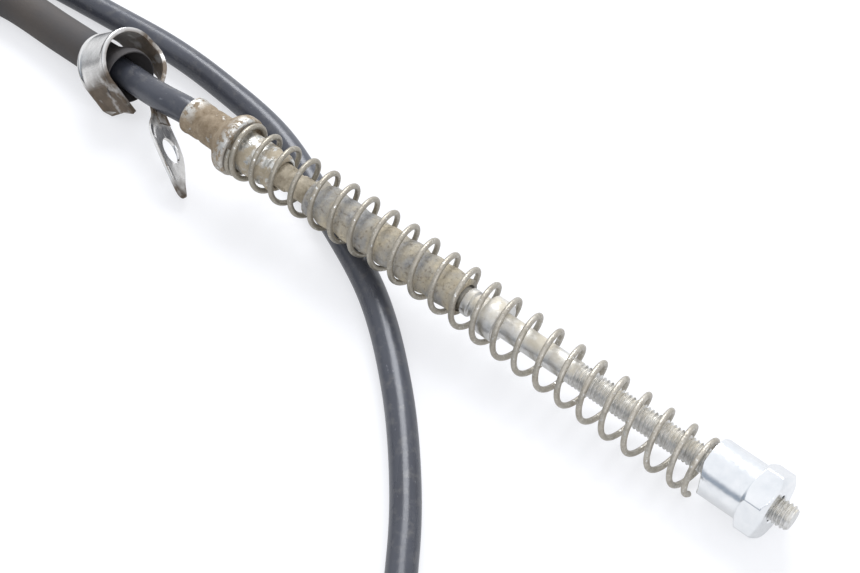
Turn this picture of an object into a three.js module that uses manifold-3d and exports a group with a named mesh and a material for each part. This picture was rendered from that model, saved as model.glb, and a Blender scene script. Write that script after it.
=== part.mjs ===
// Rear drum brake cable of a scooter: pull rod with adjuster nut, return spring, dust boot and ferrule
// at the wheel end, the sheathed cable in a loop and a coil, and the barrel nipple of the lever end.
// Millimetres, +Z up. The cable lies on a table at z = 0, with +X along the pull rod to its tip.

import * as THREE from 'three';
import { mergeVertices } from 'three/addons/utils/BufferGeometryUtils.js';
import Module from 'manifold-3d';

const wasm = await Module();
wasm.setup();

// Driving dimensions

const clearance = 0.3; // running gap between pieces that touch or slide
const boreClearance = 0.45; // radial gap round the moving wire

const wireDiameter = 1.9;
const sheathDiameter = 7.0;
const sleeveDiameter = 10.2;
const sleeveWall = 1.2;

// Wheel end, measured along the rod from the front face of the ferrule's flange
const noseDown = THREE.MathUtils.degToRad(2.9); // the spring lies on the sheath, the nut on the table
const barrelDiameter = 9.0;
const barrelLength = 11;
const shoulderLength = 3.4;
const flangeDiameter = 15.5;
const flangeThickness = 2.6;
const shoulderDiameter = 12.6; // leaves a flat ring that seats on the bracket
const crimpGrooveDepth = 0.35;
const guideDiameter = 10.4;
const guideLength = 10;
const linerDiameter = 6.5;
const linerLength = 23;
const bootDiameter = 9.6;
const bootStart = 19.6;
const bootLength = 48.9;
const bootWall = 1.1;
const bootFolds = 8;
const bootFoldDepth = 0.45;
const tailDiameter = 6.7;
const tailLength = 6.8;
const tailGroove = 0.55;
const spigotLength = 5;
const spigotDiameter = 6.0;
const collarDiameter = 9.9;
const collarLength = 4.1;
const shankDiameter = 5.8;
const shankLength = 20.6;
const threadDiameter = 6.0;
const threadLength = 60.3;
const tipChamfer = 0.8;
const wireSocketDepth = 5;
const wireFreeLength = 48;

// Adjuster nut
const nutSeat = 59.4; // from the rear face of the collar to the left end of the nut
const nutBodyDiameter = 13.5;
const nutBodyLength = 10.4;
const hexAcrossFlats = 15;
const hexLength = 6.4;
const hexChamfer = 0.9;
const hexTurn = THREE.MathUtils.degToRad(17);
const saddleRadius = 11;
const saddleDepth = 1.3;

// Return spring, right-hand
const springDiameter = 14;
const springWire = 1.3;
const springTurns = 24.3;
const closedPitch = 1.45;
const closedAtFlange = 0.9;
const closedAtNut = 1.4;
const springPhase = THREE.MathUtils.degToRad(149);
const springRise = 0.4; // the spring's middle rides up on the boot
const springDrop = 0.9; // and its nut end hangs below the rod's axis

// Clip
const clipInnerRadius = 7.7;
const clipThickness = 0.9;
const clipWidth = 10;
const clipLean = THREE.MathUtils.degToRad(31);
const clipNearLeg = 8.0;
const clipFarLeg = 8.0;
const tabHeading = THREE.MathUtils.degToRad(-35);
const tabLength = 47;
const tabNeckHeight = 6;
const tabEyeHeight = 10.6;
const tabEyeBore = 7.2;
const tabEyeFromTip = 14;

// Coil of the length that lies beside the wheel end
const coilInnerRadius = 23;
const coilOuterRadius = 44;
const coilHeight = 14;
const coilCentre = new THREE.Vector2(-137.6, -84);
const tieThickness = 0.9;
const tieWidth = 3.6;
const tieAngles = [70, 235];

// Lever end
const leverFerruleDiameter = 9;
const leverFerruleLength = 29;
const leverFerruleBore = 26;
const leverWireShown = 14;
const leverWireHidden = 24;
const nippleDiameter = 8;
const nippleHeight = 9;

const roundSides = 24;
const cordSides = 10;

// Shape helpers

function closedSolid(geometry) {
  // Keeps positions only, merges them, and turns the faces outward.
  const bare = new THREE.BufferGeometry();
  bare.setAttribute('position', geometry.getAttribute('position').clone());
  if (geometry.index) bare.setIndex(geometry.index.clone());
  const merged = mergeVertices(bare, 1e-4);
  const position = merged.getAttribute('position');
  const index = merged.index.array;
  const kept = [];
  const [a, b, c] = [new THREE.Vector3(), new THREE.Vector3(), new THREE.Vector3()];
  let volume = 0;
  for (let i = 0; i < index.length; i += 3) {
    const [p, q, r] = [index[i], index[i + 1], index[i + 2]];
    if (p === q || q === r || r === p) continue;
    kept.push(p, q, r);
    a.fromBufferAttribute(position, p);
    b.fromBufferAttribute(position, q);
    c.fromBufferAttribute(position, r);
    volume += a.dot(b.cross(c));
  }
  if (volume < 0) {
    for (let i = 0; i < kept.length; i += 3) [kept[i], kept[i + 1]] = [kept[i + 1], kept[i]];
  }
  merged.setIndex(kept);
  return merged;
}

function toManifold(geometry) {
  const solid = closedSolid(geometry);
  return new wasm.Manifold(new wasm.Mesh({
    numProp: 3,
    vertProperties: new Float32Array(solid.getAttribute('position').array),
    triVerts: new Uint32Array(solid.index.array),
  }));
}

function fromManifold(manifold) {
  const { vertProperties, triVerts } = manifold.getMesh();
  const geometry = new THREE.BufferGeometry();
  geometry.setAttribute('position', new THREE.BufferAttribute(new Float32Array(vertProperties), 3));
  geometry.setIndex(new THREE.BufferAttribute(new Uint32Array(triVerts), 1));
  return geometry;
}

function turned(profile, sides = roundSides) {
  // Revolves a closed outline of [x, radius] points about the X axis.
  const outline = [...profile, profile[0]].map(([x, radius]) => new THREE.Vector2(radius, x));
  return new THREE.LatheGeometry(outline, sides).rotateZ(-Math.PI / 2);
}

function circle(radius, sides) {
  const shape = new THREE.Shape();
  for (let i = 0; i < sides; i++) {
    const angle = (2 * Math.PI * i) / sides;
    const point = [radius * Math.cos(angle), radius * Math.sin(angle)];
    if (i === 0) shape.moveTo(...point);
    else shape.lineTo(...point);
  }
  shape.closePath();
  return shape;
}

function swept(path, radius, steps, sides = cordSides, boreRadius = 0) {
  const shape = circle(radius, sides);
  if (boreRadius > 0) shape.holes.push(circle(boreRadius, sides));
  return new THREE.ExtrudeGeometry(shape, { steps, extrudePath: path, bevelEnabled: false });
}

function piece(name, geometry, colour, roughness, metalness) {
  const material = new THREE.MeshStandardMaterial({ color: colour, roughness, metalness });
  const mesh = new THREE.Mesh(closedSolid(geometry), material);
  mesh.name = name;
  return mesh;
}

// Places along the rod

const guideStart = clearance;
const tailStart = bootStart + bootLength + clearance;
const collarStart = tailStart + tailLength;
const collarEnd = collarStart + collarLength;
const threadStart = collarEnd + shankLength;
const rodTip = threadStart + threadLength;
const nutStart = collarEnd + nutSeat;
const nutEnd = nutStart + nutBodyLength + hexLength;
const ferruleRear = -(flangeThickness + shoulderLength + barrelLength);
const wireRadius = wireDiameter / 2;
const sheathRadius = sheathDiameter / 2;

// Ferrule: crimped barrel, rolled shoulder and the flange that the spring bears on
function ferrule() {
  const bore = wireRadius + boreClearance;
  const barrel = barrelDiameter / 2;
  const flange = flangeDiameter / 2;
  const shoulder = -flangeThickness - shoulderLength;
  const rolled = shoulderDiameter / 2;
  const crimp = (ferruleRear + shoulder) / 2;
  const outline = [
    [0, bore],
    [0, flange - 0.5],
    [-0.5, flange],
    [-flangeThickness + 0.5, flange],
    [-flangeThickness, flange - 0.5],
    [-flangeThickness, rolled],
  ];
  const shoulderSteps = 5;
  for (let i = 1; i <= shoulderSteps; i++) {
    const angle = (Math.PI / 2) * (i / shoulderSteps);
    outline.push([
      -flangeThickness - shoulderLength * Math.sin(angle),
      barrel + (rolled - barrel) * (1 - Math.sin(angle)) ** 0.8,
    ]);
  }
  outline.push([crimp + 1.6, barrel], [crimp + 1, barrel - crimpGrooveDepth]);
  outline.push([crimp - 1, barrel - crimpGrooveDepth], [crimp - 1.6, barrel]);
  outline.push([ferruleRear + 0.6, barrel], [ferruleRear, barrel - 0.6], [ferruleRear, bore]);
  return piece('ferrule', turned(outline), 0x8c7d69, 0.7, 0.5);
}

// Guide tube in front of the flange, and the plastic liner that the wire runs in
function guideTube() {
  const outer = guideDiameter / 2;
  const inner = linerDiameter / 2 + clearance;
  const end = guideStart + guideLength;
  return piece('guide_tube', turned([
    [guideStart, inner], [end, inner], [end, outer - 1.2], [end - 1.2, outer], [guideStart, outer],
  ]), 0x8a7f70, 0.65, 0.5);
}

function guideLiner() {
  const outer = linerDiameter / 2;
  const inner = wireRadius + boreClearance;
  const start = guideStart;
  const end = start + linerLength;
  return piece('guide_liner', turned([
    [start, inner], [end, inner], [end, outer - 0.5], [end - 0.5, outer], [start, outer],
  ], 24), 0x4a4743, 0.6, 0);
}

// Dust boot: a rubber tube with shallow folds, a lip on the liner and a lip on the rod's spigot
function dustBoot() {
  const outer = bootDiameter / 2;
  const lip = 3;
  const lipBore = Math.max(linerDiameter, spigotDiameter) / 2 + clearance;
  const perFold = 4;
  const count = bootFolds * perFold;
  const outside = [];
  const inside = [];
  for (let i = 0; i <= count; i++) {
    const x = bootStart + lip + ((bootLength - 2 * lip) * i) / count;
    const wave = 0.5 - 0.5 * Math.cos((2 * Math.PI * i) / perFold);
    outside.push([x, outer - bootFoldDepth * wave]);
    if (i % 2 === 0) inside.push([x, Math.max(outer - bootWall - bootFoldDepth * wave, wireRadius + 1)]);
  }
  const end = bootStart + bootLength;
  inside[0][1] = lipBore;
  inside.at(-1)[1] = lipBore;
  return piece('dust_boot', turned([
    [bootStart, lipBore], [bootStart, outer - 0.3], [bootStart + 0.3, outer], ...outside,
    [end - 0.3, outer], [end, outer - 0.3], [end, lipBore], ...inside.reverse(),
  ], 24), 0x8d7f6a, 0.9, 0);
}

// Pull rod: spigot in the boot, grooved tail with the wire's socket, collar, shank and M6 threaded end
function pullRod() {
  const spigot = spigotDiameter / 2;
  const tail = tailDiameter / 2;
  const collar = collarDiameter / 2;
  const shank = shankDiameter / 2;
  const thread = threadDiameter / 2;
  const socket = wireRadius + clearance;
  const groove = tailStart + tailLength * 0.55;
  const start = tailStart - spigotLength;
  return piece('pull_rod', turned([
    [start + wireSocketDepth, 0],
    [start + wireSocketDepth, socket],
    [start, socket],
    [start, spigot - 0.3],
    [start + 0.3, spigot],
    [tailStart, spigot],
    [tailStart, tail - 0.4],
    [tailStart + 0.4, tail],
    [groove - 0.8, tail],
    [groove - 0.5, tail - tailGroove],
    [groove + 0.5, tail - tailGroove],
    [groove + 0.8, tail],
    [collarStart, tail],
    [collarStart, collar - 0.5],
    [collarStart + 0.5, collar],
    [collarEnd - 0.5, collar],
    [collarEnd, collar - 0.5],
    [collarEnd, shank],
    [threadStart - 0.4, shank],
    [threadStart, thread],
    [rodTip - tipChamfer, thread],
    [rodTip, thread - tipChamfer],
    [rodTip, 0],
  ], 24), 0xb9b6ae, 0.4, 0.9);
}

function innerWire() {
  const end = tailStart - spigotLength + wireSocketDepth - clearance;
  return piece('inner_wire', turned([
    [end - wireFreeLength, 0], [end - wireFreeLength, wireRadius], [end, wireRadius], [end, 0],
  ], 12), 0x8f8f8c, 0.45, 0.9);
}

// Adjuster nut: a round body with a saddle across its spring end, and a chamfered hexagon
function adjusterNut() {
  const body = nutBodyDiameter / 2;
  const corner = hexAcrossFlats / 2 / Math.cos(Math.PI / 6);
  const hexStart = nutStart + nutBodyLength;
  const bore = threadDiameter / 2 + clearance;
  const round = turned([
    [nutStart, 0], [nutStart, body], [hexStart + 0.1, body], [hexStart + 0.1, 0],
  ]);
  const hexagon = new THREE.CylinderGeometry(corner, corner, hexLength, 6);
  hexagon.rotateZ(-Math.PI / 2).rotateX(hexTurn).translate(hexStart + hexLength / 2, 0, 0);
  const flat = hexAcrossFlats / 2;
  const chamfers = turned([
    [hexStart - 1, 0], [hexStart - 1, flat - 0.4], [hexStart, flat - 0.4], [hexStart + hexChamfer, corner],
    [nutEnd - hexChamfer, corner], [nutEnd, flat - 0.4], [nutEnd, 0],
  ], 48);
  const through = new THREE.CylinderGeometry(bore, bore, 2 * (nutEnd - nutStart), roundSides);
  through.rotateZ(-Math.PI / 2).translate(nutStart, 0, 0);
  const saddle = new THREE.CylinderGeometry(saddleRadius, saddleRadius, 2 * nutBodyDiameter, 48);
  saddle.translate(nutStart + saddleDepth - saddleRadius, 0, 0);
  const nut = toManifold(hexagon)
    .intersect(toManifold(chamfers))
    .add(toManifold(round))
    .subtract(toManifold(through))
    .subtract(toManifold(saddle));
  return piece('adjuster_nut', fromManifold(nut), 0xc4c8cc, 0.3, 1);
}

// Return spring: open turns between a closed end on the flange and a closed end in the nut's saddle
class SpringPath extends THREE.Curve {
  constructor(start, end) {
    super();
    this.start = start;
    this.open = springTurns - closedAtFlange - closedAtNut - 1;
    this.openPitch = closedPitch + (end - start - closedPitch * springTurns) / this.open;
  }

  along(turn) {
    // The pitch ramps up over one turn after the flange and down over one turn before the nut.
    const ramp = (t) => (t <= 0 ? 0 : t < 1 ? (t * t) / 2 : t - 0.5);
    const opened = ramp(turn - closedAtFlange) - ramp(turn - (springTurns - closedAtNut - 1));
    return this.start + closedPitch * turn + (this.openPitch - closedPitch) * opened;
  }

  getPoint(t, target = new THREE.Vector3()) {
    const turn = t * springTurns;
    const x = this.along(turn);
    const radius = (springDiameter - springWire) / 2;
    const angle = springPhase + 2 * Math.PI * turn;
    const span = nutStart;
    const rise = springRise * Math.sin(Math.PI * Math.min(1, x / collarStart));
    const drop = springDrop * Math.max(0, (x - collarStart) / (span - collarStart)) ** 2;
    return target.set(x, radius * Math.cos(angle), radius * Math.sin(angle) + rise - drop);
  }
}

function returnSpring() {
  const reach = springWire / 2 + clearance;
  const path = new SpringPath(reach, nutStart - reach);
  path.arcLengthDivisions = 2400;
  const stepsPerTurn = 14;
  const steps = Math.round(springTurns * stepsPerTurn);
  return piece('return_spring', swept(path, springWire / 2, steps, 6), 0x8d877a, 0.6, 0.6);
}

// Wheel end, nose down on the table, with the middle of its length over the origin
const wheelEnd = new THREE.Group();
wheelEnd.add(ferrule(), guideTube(), guideLiner(), dustBoot(), returnSpring());
wheelEnd.add(innerWire(), pullRod(), adjusterNut());
wheelEnd.rotation.y = noseDown;
wheelEnd.updateMatrixWorld(true);
const wheelBox = new THREE.Box3();
wheelEnd.traverse((mesh) => {
  if (mesh.isMesh) wheelBox.expandByObject(mesh, true);
});
wheelEnd.position.set(-(wheelBox.min.x + wheelBox.max.x) / 2, 0, -wheelBox.min.z);
wheelEnd.updateMatrixWorld(true);

const onRod = (x) => wheelEnd.localToWorld(new THREE.Vector3(x, 0, 0));

// Sheathed cable on the table
const floorHeight = sheathRadius + 0.1;
const sleeveHeight = sleeveDiameter / 2 + 0.2;
const strandRadius = coilOuterRadius + sheathRadius + clearance;
const coilFloor = tieThickness + clearance;

function arc(centreX, centreY, radius, from, to, z, count, zEnd = z) {
  const points = [];
  for (let i = 0; i <= count; i++) {
    const angle = THREE.MathUtils.degToRad(from + ((to - from) * i) / count);
    const [x, y] = [centreX + radius * Math.cos(angle), centreY + radius * Math.sin(angle)];
    points.push(new THREE.Vector3(x, y, z + ((zEnd - z) * i) / count));
  }
  return points;
}

const entryAngle = 186;
const wheelStrand = new THREE.CatmullRomCurve3([
  onRod(ferruleRear - clearance),
  onRod(ferruleRear - 7),
  new THREE.Vector3(-102.8, 3.2, 14.2),
  new THREE.Vector3(-116.5, 5.6, 10.9),
  new THREE.Vector3(-125.2, 6.4, 9.2),
  new THREE.Vector3(-138, 7.3, 7),
  new THREE.Vector3(-153, 8, 5.6),
  ...arc(-164.6, -22, 30, 90, entryAngle, sleeveHeight, 5),
  new THREE.Vector3(-191, -52, 4.4),
  ...arc(coilCentre.x, coilCentre.y, strandRadius, entryAngle, entryAngle + 6, floorHeight + 0.2, 1),
], false, 'centripetal');

const leverRadius = leverFerruleDiameter / 2;
const leverHeight = leverRadius + clearance;
const leverX = -207.6;
const leverFerruleStart = -30;
const leverStrand = new THREE.CatmullRomCurve3([
  ...arc(coilCentre.x, coilCentre.y, strandRadius, 266, 270, floorHeight + 0.2, 1),
  new THREE.Vector3(-100, coilCentre.y - strandRadius, floorHeight),
  new THREE.Vector3(-50, coilCentre.y - strandRadius, floorHeight),
  ...arc(-2.2, -88, 43.8, 270, 385, floorHeight, 6),
  new THREE.Vector3(29.6, -57.4, floorHeight),
  new THREE.Vector3(18, -43.1, floorHeight),
  new THREE.Vector3(-0.4, -24.6, floorHeight),
  new THREE.Vector3(-23.2, -7, floorHeight),
  new THREE.Vector3(-50, 6.2, floorHeight),
  new THREE.Vector3(-76, 17.2, floorHeight),
  new THREE.Vector3(-101.2, 21.7, floorHeight),
  new THREE.Vector3(-119.8, 23.1, floorHeight),
  new THREE.Vector3(-141.6, 22.3, floorHeight),
  ...arc(-164.6, -22, 43, 90, 180, floorHeight, 6, leverHeight),
  new THREE.Vector3(leverX, leverFerruleStart + 4, leverHeight),
  new THREE.Vector3(leverX, leverFerruleStart + clearance, leverHeight),
], false, 'centripetal');

function sheath(name, path, steps) {
  return piece(name, swept(path, sheathRadius, steps), 0x2d3038, 0.45, 0);
}

const wheelStrandSteps = 14;
const leverStrandSteps = 44;

// Rubber sleeve over the sheath, on the same stations as the sheath so that the bore stays clear
class Stretch extends THREE.Curve {
  constructor(path, from, to) {
    super();
    Object.assign(this, { path, from, to });
  }

  getPoint(t, target = new THREE.Vector3()) {
    return this.path.getPointAt(this.from + (this.to - this.from) * t, target);
  }
}

function protectiveSleeve() {
  const [first, last] = [3, 9];
  const path = new Stretch(wheelStrand, first / wheelStrandSteps, last / wheelStrandSteps);
  const radius = sleeveDiameter / 2;
  return piece('protective_sleeve', swept(path, radius, last - first, 12, radius - sleeveWall), 0x3a3b3e, 0.85, 0);
}

// Coil of sheath turns, as its outer form
function sheathCoil() {
  const bevel = 3;
  const [inner, outer, top] = [coilInnerRadius, coilOuterRadius, coilHeight];
  const ring = new THREE.LatheGeometry([
    [inner + bevel, 0], [outer - bevel, 0], [outer, bevel], [outer, top - bevel], [outer - bevel, top],
    [inner + bevel, top], [inner, top - bevel], [inner, bevel], [inner + bevel, 0],
  ].map(([radius, z]) => new THREE.Vector2(radius, z)), 48);
  ring.rotateX(Math.PI / 2).translate(coilCentre.x, coilCentre.y, coilFloor);
  return piece('sheath_coil', ring, 0x2d3038, 0.45, 0);
}

function coilTie(name, angle) {
  const hole = new THREE.Path();
  const outline = new THREE.Shape();
  const middle = (coilInnerRadius + coilOuterRadius) / 2;
  const halfWidth = (coilOuterRadius - coilInnerRadius) / 2 + clearance;
  const halfHeight = coilHeight / 2 + clearance;
  const cut = 2.6;
  const box = (path, grow) => {
    const [w, h] = [halfWidth + grow, halfHeight + grow];
    path.moveTo(-w + cut, -h).lineTo(w - cut, -h).lineTo(w, -h + cut).lineTo(w, h - cut);
    path.lineTo(w - cut, h).lineTo(-w + cut, h).lineTo(-w, h - cut).lineTo(-w, -h + cut).closePath();
  };
  box(outline, tieThickness);
  box(hole, 0);
  outline.holes.push(hole);
  const band = new THREE.ExtrudeGeometry(outline, { depth: tieWidth, bevelEnabled: false });
  band.translate(0, 0, -tieWidth / 2).rotateX(Math.PI / 2).translate(middle, 0, 0);
  const tie = piece(name, band, 0x1f2023, 0.5, 0);
  tie.rotation.z = THREE.MathUtils.degToRad(angle);
  tie.position.set(coilCentre.x, coilCentre.y, coilFloor + coilHeight / 2);
  return tie;
}

// Clip: a strap over the sleeve, its short leg on the near side, its long leg bent into an eye tab
function cableClip() {
  const centre = new THREE.Vector3(-122.4, 6.3, 9.7);
  const outline = new THREE.Shape();
  const [inner, outer] = [clipInnerRadius, clipInnerRadius + clipThickness];
  outline.moveTo(-outer, -clipNearLeg);
  outline.lineTo(-outer, 0);
  outline.absarc(0, 0, outer, Math.PI, 0, true);
  outline.lineTo(outer, -clipFarLeg);
  outline.lineTo(inner, -clipFarLeg);
  outline.lineTo(inner, 0);
  outline.absarc(0, 0, inner, 0, Math.PI, false);
  outline.lineTo(-inner, -clipNearLeg);
  const strap = new THREE.ExtrudeGeometry(outline, { depth: clipWidth, bevelEnabled: false, curveSegments: 20 });
  strap.translate(0, 0, -clipWidth / 2).rotateX(Math.PI / 2).rotateZ(Math.PI / 2);
  strap.rotateY(-clipLean).translate(centre.x, centre.y, centre.z);

  const foot = clearance;
  const eyeX = tabLength - tabEyeFromTip;
  const eyeRadius = tabEyeHeight / 2;
  const tab = new THREE.Shape();
  tab.moveTo(0, foot);
  tab.lineTo(tabLength - 3, foot);
  tab.quadraticCurveTo(tabLength, foot, tabLength, foot + 3.5);
  tab.quadraticCurveTo(tabLength - 1, foot + 6.5, tabLength - 5, foot + tabEyeHeight * 0.82);
  tab.lineTo(eyeX + 2, foot + tabEyeHeight);
  tab.quadraticCurveTo(eyeX - 4, foot + tabEyeHeight, eyeX - 9, foot + tabNeckHeight);
  tab.lineTo(0, foot + tabNeckHeight);
  const eye = new THREE.Path();
  eye.absarc(eyeX, foot + eyeRadius, tabEyeBore / 2, 0, 2 * Math.PI, true);
  tab.holes.push(eye);
  const plate = new THREE.ExtrudeGeometry(tab, { depth: clipThickness, bevelEnabled: false, curveSegments: 10 });
  const fold = new THREE.Vector3(clipFarLeg * 0.72 * Math.sin(clipLean), inner, 0).add(centre);
  plate.rotateX(Math.PI / 2).rotateZ(tabHeading).translate(fold.x - 1, fold.y + 0.7, 0);
  return piece('cable_clip', fromManifold(toManifold(strap).add(toManifold(plate))), 0xb8b4ab, 0.35, 0.9);
}

// Lever end: ferrule, wire and barrel nipple
function leverFerrule() {
  const radius = leverRadius;
  const bore = wireRadius + boreClearance;
  const seat = sheathRadius;
  const rear = leverFerruleLength - leverFerruleBore;
  return piece('lever_ferrule', turned([
    [rear, 0], [rear, bore], [leverFerruleLength, bore], [leverFerruleLength, seat - 0.4],
    [leverFerruleLength - 0.6, seat], [leverFerruleLength - 5, seat], [leverFerruleLength - 5, radius - 0.4],
    [leverFerruleLength - 5.4, radius], [6, radius], [5.4, radius - crimpGrooveDepth],
    [3.6, radius - crimpGrooveDepth], [3, radius], [0.5, radius], [0, radius - 0.5], [0, 0],
  ], 24), 0xa8a49b, 0.45, 0.85);
}

function leverWire() {
  const start = leverFerruleLength - leverWireHidden;
  const end = leverFerruleLength + leverWireShown;
  return piece('lever_wire', turned([
    [start, 0], [start, wireRadius], [end, wireRadius], [end, 0],
  ], 12), 0x8f8f8c, 0.45, 0.9);
}

function barrelNipple() {
  const x = leverFerruleLength + leverWireShown + nippleDiameter / 2 - 3;
  const drum = new THREE.CylinderGeometry(nippleDiameter / 2, nippleDiameter / 2, nippleHeight, 24);
  drum.rotateX(Math.PI / 2).translate(x, 0, 0);
  const socketRadius = wireRadius + clearance;
  const socket = new THREE.CylinderGeometry(socketRadius, socketRadius, 10, 16);
  socket.rotateZ(-Math.PI / 2).translate(leverFerruleLength + leverWireShown + clearance - 5, 0, 0);
  const nipple = toManifold(drum).subtract(toManifold(socket));
  return piece('barrel_nipple', fromManifold(nipple), 0xb0b2b0, 0.4, 0.9);
}

const leverEnd = new THREE.Group();
leverEnd.add(leverFerrule(), leverWire(), barrelNipple());
leverEnd.rotation.z = -Math.PI / 2;
leverEnd.position.set(leverX, leverFerruleStart, leverHeight);

// Whole cable
const cable = new THREE.Group();
cable.add(wheelEnd, leverEnd);
cable.add(sheath('sheath_wheel_end', wheelStrand, wheelStrandSteps));
cable.add(sheath('sheath_lever_end', leverStrand, leverStrandSteps));
cable.add(sheathCoil(), protectiveSleeve(), cableClip());
tieAngles.forEach((angle, i) => cable.add(coilTie(`coil_tie_${i + 1}`, angle)));

export default cable;
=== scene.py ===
"""Rear drum brake cable on a pale table: the looks of its fittings, sheath, boot, spring, rod and nut."""

import math

import bpy
import numpy as np
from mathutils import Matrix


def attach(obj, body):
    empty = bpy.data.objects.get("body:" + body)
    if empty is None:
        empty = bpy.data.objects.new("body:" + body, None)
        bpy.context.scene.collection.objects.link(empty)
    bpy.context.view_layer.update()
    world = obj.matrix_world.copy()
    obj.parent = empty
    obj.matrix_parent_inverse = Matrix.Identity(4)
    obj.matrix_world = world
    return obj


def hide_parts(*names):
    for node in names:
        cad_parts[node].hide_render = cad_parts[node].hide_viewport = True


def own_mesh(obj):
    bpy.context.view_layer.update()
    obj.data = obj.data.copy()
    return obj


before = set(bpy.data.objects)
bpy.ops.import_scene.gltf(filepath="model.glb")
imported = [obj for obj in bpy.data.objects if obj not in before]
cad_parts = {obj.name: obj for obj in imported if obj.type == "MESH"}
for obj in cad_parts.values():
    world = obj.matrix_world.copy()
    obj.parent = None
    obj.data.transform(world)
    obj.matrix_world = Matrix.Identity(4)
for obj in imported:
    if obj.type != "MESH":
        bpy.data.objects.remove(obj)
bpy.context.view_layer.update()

MM = 0.001

# The rod's own frame, in mm: x from the front face of the ferrule's flange to the rod's tip
ROD_ORIGIN = np.array((-71.665, 0.0, 16.107))
NOSE_DOWN = math.radians(2.9)

# Sheath and sleeve; the sleeve's ends are lengths along the sheath from the ferrule
SHEATH_RADIUS = 3.5
SLEEVE_RADIUS = 5.1
SLEEVE_START, SLEEVE_END = 26.5, 122.0
MOUTH_LENGTH, MOUTH_FLARE = 11, 2.1

# Places along the rod
FERRULE_REAR = -17.0
FLANGE_FRONT = 1.1
GUIDE_END = 14.2
LINER_END = 27.0
BOOT_START, BOOT_END = 24.2, 70.4
TAIL_START = 71.2
COLLAR_START, COLLAR_END = 77.2, 81.6
THREAD_START, ROD_TIP = 102.4, 159.6
NUT_START, HEX_START, NUT_END = 138.5, 149.4, 155.4
SPRING_RADIUS, SPRING_WIRE = 6.55, 0.7

# The coil on the table and its bands, angles in degrees
COIL_CENTRE = (-137.6, -84.0)
COIL_INNER, COIL_OUTER = 24.6, 45.6
COIL_FLOOR = 1.2
COIL_HEIGHT = 14.0
TIE_ANGLES = (70, 235)
TIE_HALF = 1.8

# The strap clip: its bow's centre and direction, and the tab's tip and the two directions of its plane
CLIP_CENTRE = np.array((-118.96, 4.46, 11.79))
CLIP_FORWARD = np.array((0.814, 0.085, 0.575))
CLIP_RADIUS = 8.05
CLIP_THICKNESS = 0.9
CLIP_WIDTH = 11.7
CLIP_NEAR_LEG = 8.7
TAB_NECK = 2.55
TAB_TIP = np.array((-80.2, -11.2, 0.95))
TAB_LENGTHWISE = np.array((0.804, -0.386, -0.4525))
TAB_ACROSS = np.array((-0.0725, 0.6915, -0.7185))
EYE_CENTRE = np.array((-13.1, 0.2))
EYE_RADIUS = 3.4

# The lever end, which points to -Y
LEVER_X, LEVER_START, LEVER_HEIGHT = -207.6, -30.0, 4.8


# Shapes

def on_rod(points):
    """Points in the rod's frame, in mm, turned nose down about Y and set on the table, in metres."""
    x, y, z = np.moveaxis(np.asarray(points, float), -1, 0)
    c, s = math.cos(NOSE_DOWN), math.sin(NOSE_DOWN)
    return (np.stack((x * c + z * s, y, z * c - x * s), -1) + ROD_ORIGIN) * MM


def on_lever(points):
    """Points in the lever end's frame, in mm with x along the wire to the nipple, set on the table, in
    metres."""
    x, y, z = np.moveaxis(np.asarray(points, float), -1, 0)
    return np.stack((LEVER_X + y, LEVER_START - x, LEVER_HEIGHT + z), -1) * MM


def unit(vector):
    """Vectors made one long."""
    vector = np.asarray(vector, float)
    return vector / np.linalg.norm(vector, axis=-1, keepdims=True)


def smooth(t):
    """A number from 0 to 1 with a level start and end."""
    return t * t * (3 - 2 * t)


def eased(outline, cut, steps=4, closed=True):
    """An outline with rounded corners: each corner becomes a quadratic curve that starts a cut before it."""
    outline = np.asarray(outline, float)
    before, after = np.roll(outline, 1, 0) - outline, np.roll(outline, -1, 0) - outline
    lengths = [np.linalg.norm(v, axis=1, keepdims=True) for v in (before, after)]
    start, end = (
        outline + v / np.maximum(size, 1e-9) * np.minimum(cut, size * 0.45)
        for v, size in zip((before, after), lengths)
    )
    t = np.linspace(0, 1, steps)[None, :, None]
    curve = (1 - t) ** 2 * start[:, None] + 2 * t * (1 - t) * outline[:, None] + t**2 * end[:, None]
    if not closed:
        curve[0], curve[-1] = outline[0], outline[-1]
    return curve.reshape(-1, outline.shape[1])


def revolved(outline, sides=64):
    """A surface of revolution about x: each (x, radius) of the outline becomes a ring of points."""
    x, radius = np.asarray(outline, float).T
    angle = np.linspace(0, 2 * math.pi, sides, endpoint=False)
    return np.stack(
        (
            np.broadcast_to(x[:, None], (len(x), sides)),
            radius[:, None] * np.cos(angle),
            radius[:, None] * np.sin(angle),
        ),
        -1,
    )


def tube(path, radius, sides=24):
    """A round tube about a path: at each point a circle in the plane square to the path, level across.
    Returns its points and their place on the tube laid out straight along x."""
    path = np.asarray(path, float)
    radius = np.broadcast_to(np.asarray(radius, float), (len(path),))
    tangent = np.gradient(path, axis=0)
    tangent /= np.linalg.norm(tangent, axis=1, keepdims=True)
    side = np.cross(tangent, (0.0, 0.0, 1.0))
    side /= np.linalg.norm(side, axis=1, keepdims=True)
    top = np.cross(side, tangent)
    along = np.concatenate(([0], np.cumsum(np.linalg.norm(np.diff(path, axis=0), axis=1))))
    angle = np.linspace(0, 2 * math.pi, sides, endpoint=False)
    circle = radius[:, None, None] * np.stack((np.cos(angle), np.sin(angle)), -1)
    points = path[:, None] + circle[..., :1] * side[:, None] + circle[..., 1:] * top[:, None]
    stations = np.broadcast_to(along[:, None, None], circle.shape[:2] + (1,))
    straight = np.concatenate((stations, circle), -1)
    return points, straight


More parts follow.
